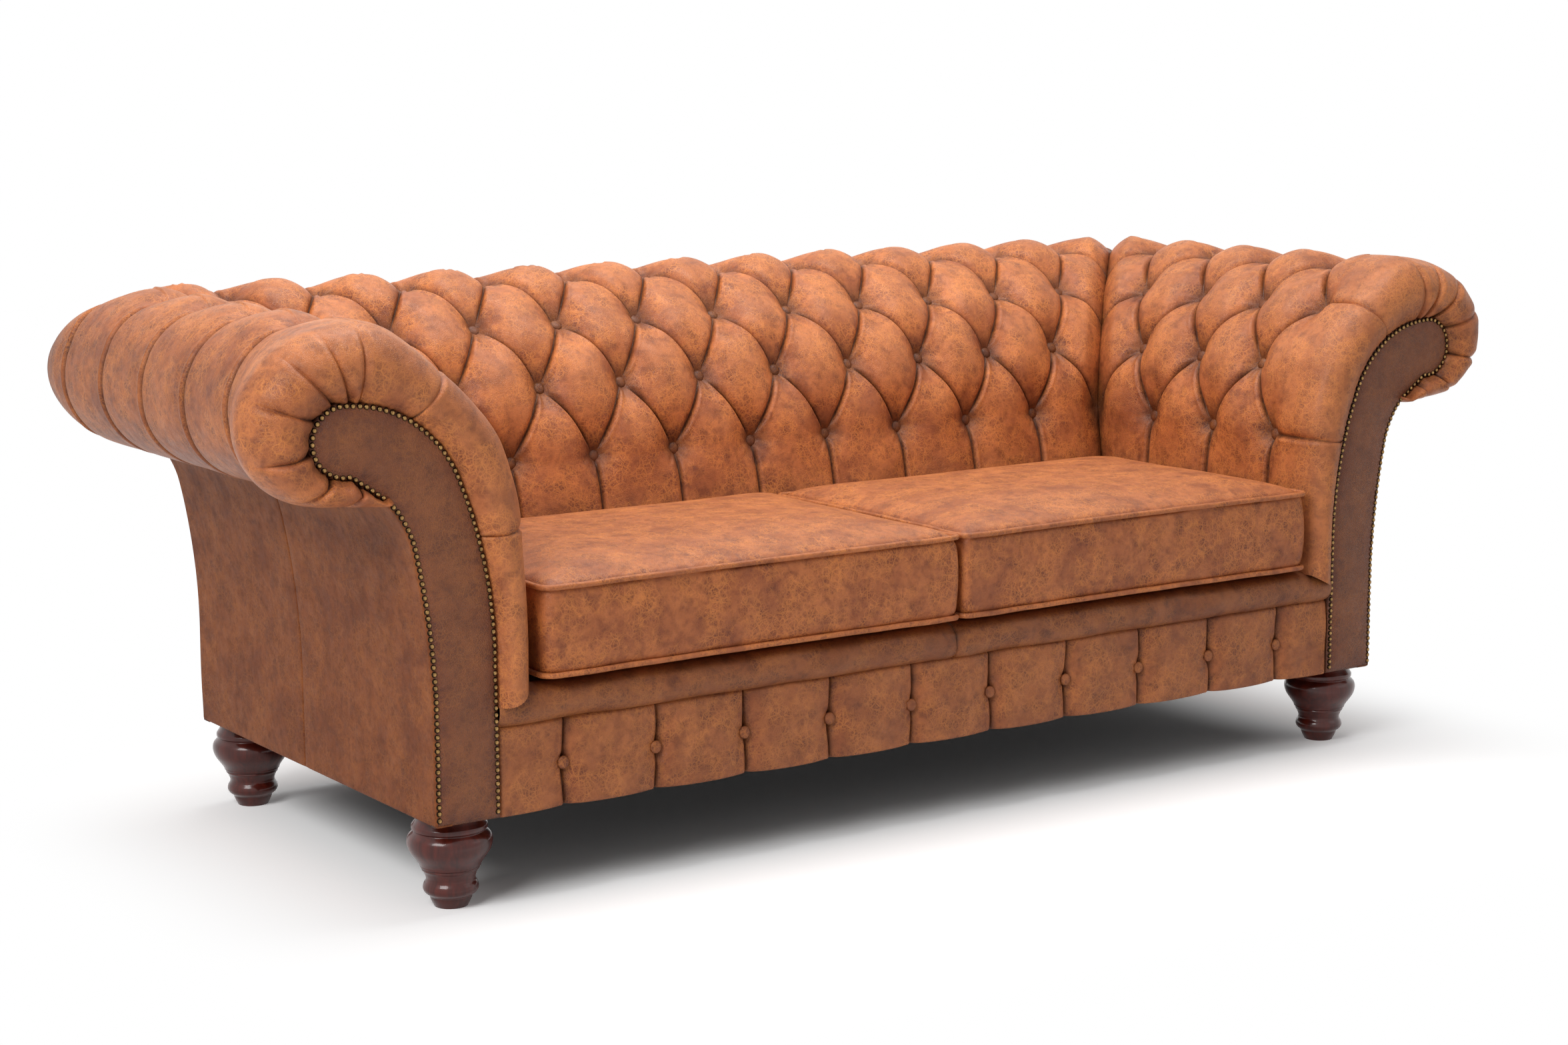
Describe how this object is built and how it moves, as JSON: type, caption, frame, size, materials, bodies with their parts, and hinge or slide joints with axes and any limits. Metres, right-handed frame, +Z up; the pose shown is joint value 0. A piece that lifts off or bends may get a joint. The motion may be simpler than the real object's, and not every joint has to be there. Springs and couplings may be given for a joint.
{
  "type": "chesterfield sofa",
  "caption": "Leather chesterfield sofa with a deep-buttoned back and rolled arms, loose boxed seat cushions, a buttoned front border and turned wooden feet.",
  "frame": {"origin": "on the floor, under the middle of the sofa's overall width and depth", "axes": "+X to the right seen from the front, +Y towards the back, +Z up; the seat faces -Y"},
  "size_m": [2.1798, 0.8733, 0.7815],
  "materials": {
    "leather": "aged pull-up tan leather, satin, with pebbled grain and darker mottling",
    "turned_wood": "dark mahogany, glossy lacquer",
    "frame_timber": "bare sawn beech",
    "aged_brass": "antiqued dark brass, worn on the domes",
    "spring_steel": "oiled spring steel",
    "foam": "cut upholstery foam",
    "webbing": "woven jute webbing",
    "deck_cloth": "plain brown lining cloth",
    "black_cloth": "thin black dust cloth"
  },
  "bodies": {
    "root": {"arm_webbing": "webbing", "back_buttons": "leather", "back_foam": "foam", "back_inside_cover": "leather", "back_top_rail": "frame_timber", "back_uprights": "frame_timber", "back_web_rails": "frame_timber", "back_webbing": "webbing", "centre_seat_rail": "frame_timber", "corner_blocks": "frame_timber", "deck_cover": "deck_cloth", "deck_pad": "foam", "dust_cover": "black_cloth", "foot_blocks": "frame_timber", "front_border_buttons": "leather", "front_border_cover": "leather", "front_feet": "turned_wood", "front_lip_cover": "leather", "front_seat_rail": "frame_timber", "hanger_bolts": "spring_steel", "left_arm_buttons": "leather", "left_arm_foam": "foam", "left_arm_front_board": "frame_timber", "left_arm_inside_cover": "leather", "left_arm_rear_board": "frame_timber", "left_arm_top_rail": "frame_timber", "left_arm_web_rails": "frame_timber", "left_nail_trim": "aged_brass", "left_outside_arm_front": "leather", "left_outside_arm_rear": "leather", "left_scroll_facing": "leather", "left_seat_rail": "frame_timber", "outside_back_panel": "leather", "rear_feet": "turned_wood", "rear_seat_rail": "frame_timber", "right_arm_buttons": "leather", "right_arm_foam": "foam", "right_arm_front_board": "frame_timber", "right_arm_inside_cover": "leather", "right_arm_rear_board": "frame_timber", "right_arm_top_rail": "frame_timber", "right_arm_web_rails": "frame_timber", "right_nail_trim": "aged_brass", "right_outside_arm_front": "leather", "right_outside_arm_rear": "leather", "right_scroll_facing": "leather", "right_seat_rail": "frame_timber", "seat_springs": "spring_steel", "spring_clips": "spring_steel", "spring_cloth": "deck_cloth"},
    "left_cushion": {"left_cushion_cover": "leather", "left_cushion_foam": "foam"},
    "right_cushion": {"right_cushion_cover": "leather", "right_cushion_foam": "foam"}
  },
  "joints": [
    {"name": "left_cushion_lift", "type": "slide", "parent": "root", "child": "left_cushion", "axis": [0, 0, 1], "range_m": [0, 0.5]},
    {"name": "right_cushion_lift", "type": "slide", "parent": "root", "child": "right_cushion", "axis": [0, 0, 1], "range_m": [0, 0.5]}
  ]
}
